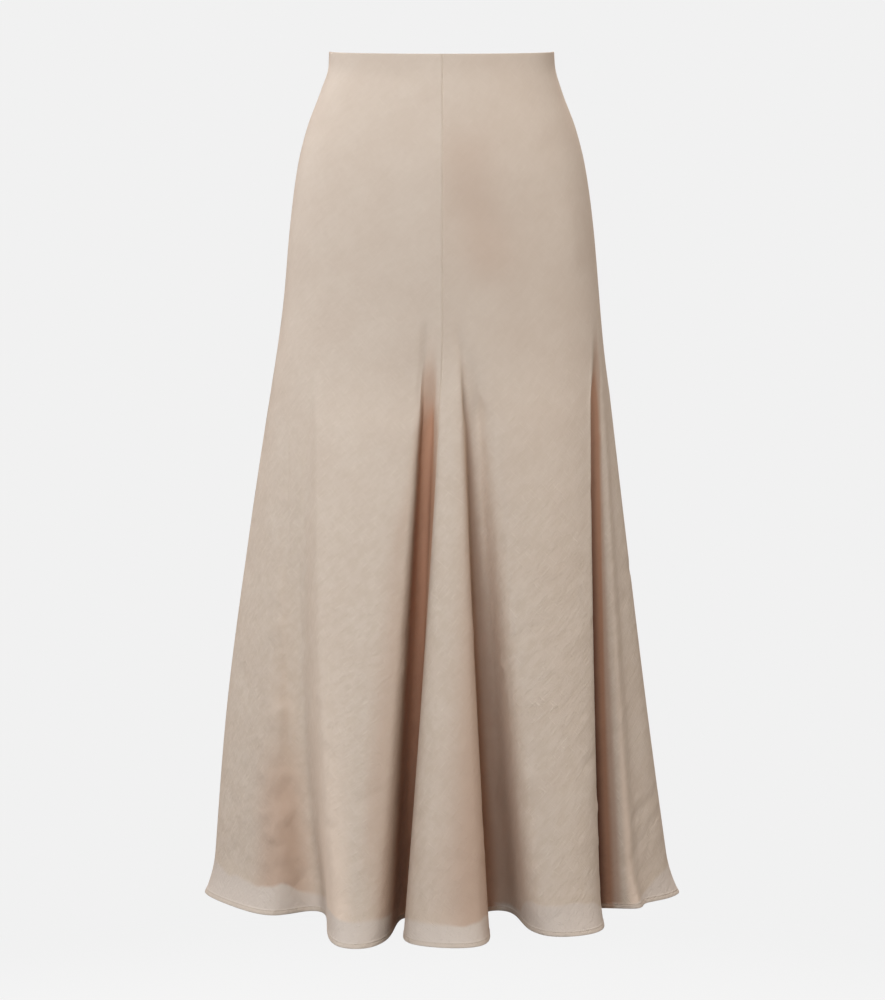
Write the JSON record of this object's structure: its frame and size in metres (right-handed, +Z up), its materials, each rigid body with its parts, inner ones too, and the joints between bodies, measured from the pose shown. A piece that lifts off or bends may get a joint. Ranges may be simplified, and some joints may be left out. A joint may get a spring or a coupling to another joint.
{
  "type": "midi skirt",
  "caption": "Bias-cut midi skirt held in its worn, hollow shape: clean waist, centre seams and deep soft folds to a narrow hem, with a lining inside.",
  "frame": {"origin": "middle of the waist opening, level with the waist's sides", "axes": "+Z up, -Y towards the front, +X towards the right as seen from the front"},
  "size_m": [0.5058, 0.4753, 0.888],
  "materials": {
    "shell_cloth": "soft lustre, fine slubby weave, slightly sheer",
    "lining_cloth": "smooth light satin"
  },
  "bodies": {
    "root": {"front_left": "shell_cloth", "front_right": "shell_cloth", "back_left": "shell_cloth", "back_right": "shell_cloth", "facing_front": "shell_cloth", "facing_back": "shell_cloth", "lining_front": "lining_cloth", "lining_back": "lining_cloth"}
  },
  "joints": []
}
